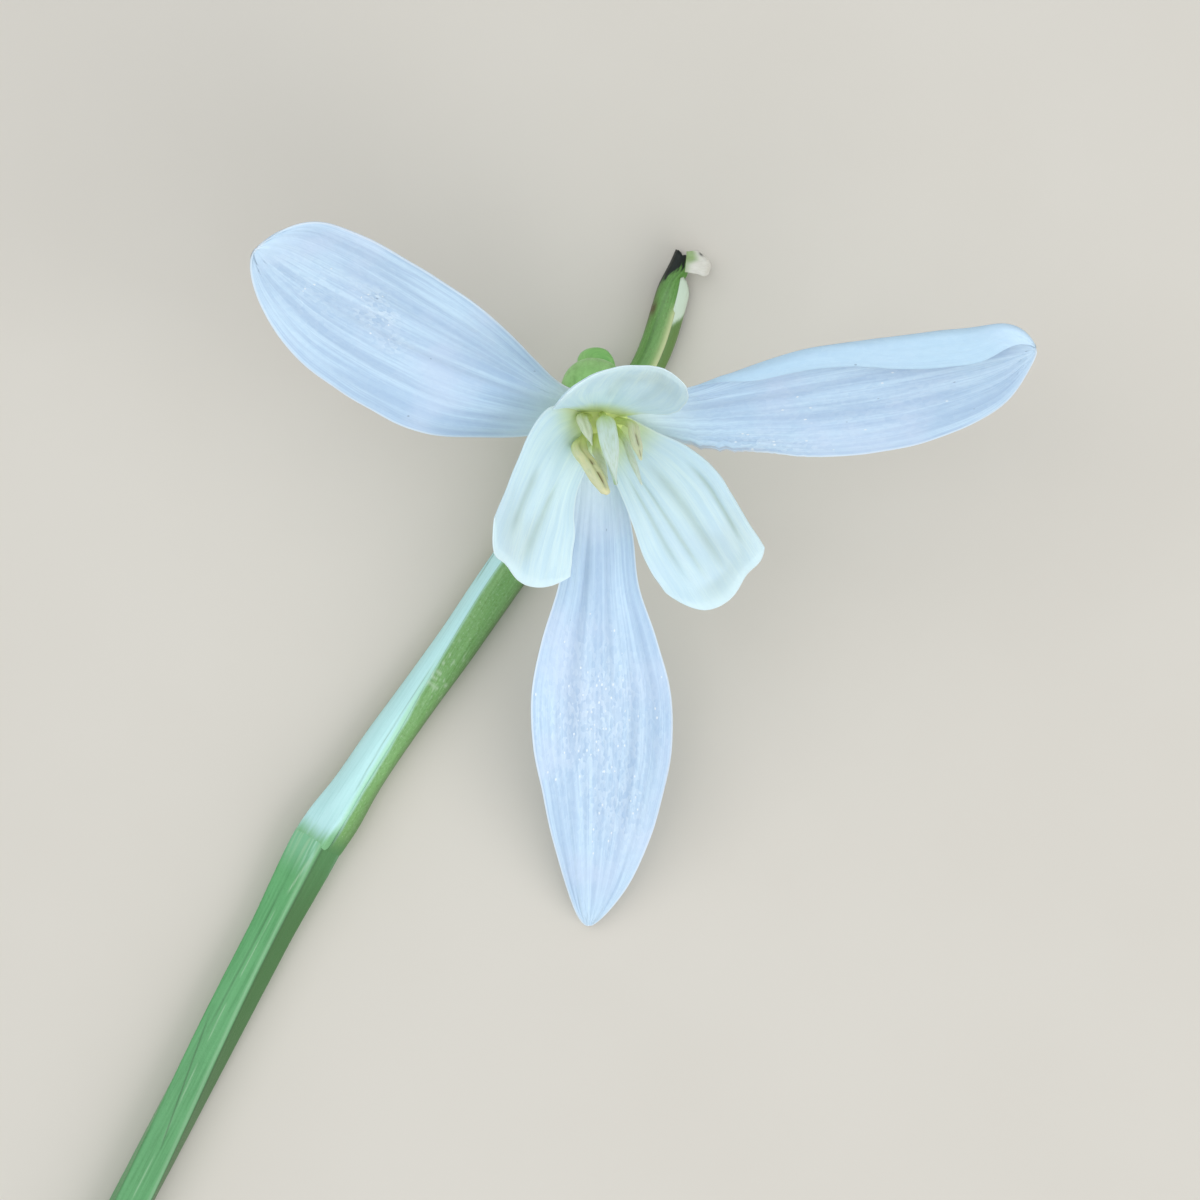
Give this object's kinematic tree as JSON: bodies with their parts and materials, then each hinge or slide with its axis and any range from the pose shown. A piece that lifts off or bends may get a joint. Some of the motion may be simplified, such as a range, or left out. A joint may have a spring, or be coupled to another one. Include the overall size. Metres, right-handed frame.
{
  "type": "cut snowdrop flower",
  "caption": "Open autumn snowdrop flower on its leafless green stalk, cut and lying on a surface: long white outer tepals, short notched inner ones, yellow stamens and a green spathe.",
  "frame": {"origin": "on the surface that the flower lies on, straight below the middle of the flower, where the spathe rests on its flattened underside", "axes": "+Z up from the surface, the flower looks up and towards -Y, +Y towards the spathe's tip and +X to the flower's right as seen from above with +Y up"},
  "size_m": [0.0611, 0.0777, 0.0244],
  "materials": {
    "outer_white": "satin petal, cool white",
    "inner_white": "satin petal, mint white",
    "anther_yellow": "matt, pale yellow",
    "style_white": "satin, greenish white",
    "ovary_green": "smooth plant skin, fresh green",
    "scape_green": "smooth plant skin, cool green",
    "bract_green": "smooth plant skin, mid green",
    "bract_olive": "smooth plant skin, olive green",
    "membrane_mint": "papery skin, mint white"
  },
  "bodies": {
    "root": {"scape": "scape_green", "spathe_bract_main": "bract_green", "spathe_bract_second": "bract_olive", "spathe_membrane": "membrane_mint", "spathe_membrane_flap": "membrane_mint", "pedicel": "ovary_green", "ovary": "ovary_green", "outer_tepal_lower": "outer_white", "outer_tepal_left": "outer_white", "outer_tepal_right": "outer_white", "inner_tepal_left": "inner_white", "inner_tepal_right": "inner_white", "inner_tepal_upper": "inner_white", "stamens": "anther_yellow", "style": "style_white"}
  },
  "joints": []
}
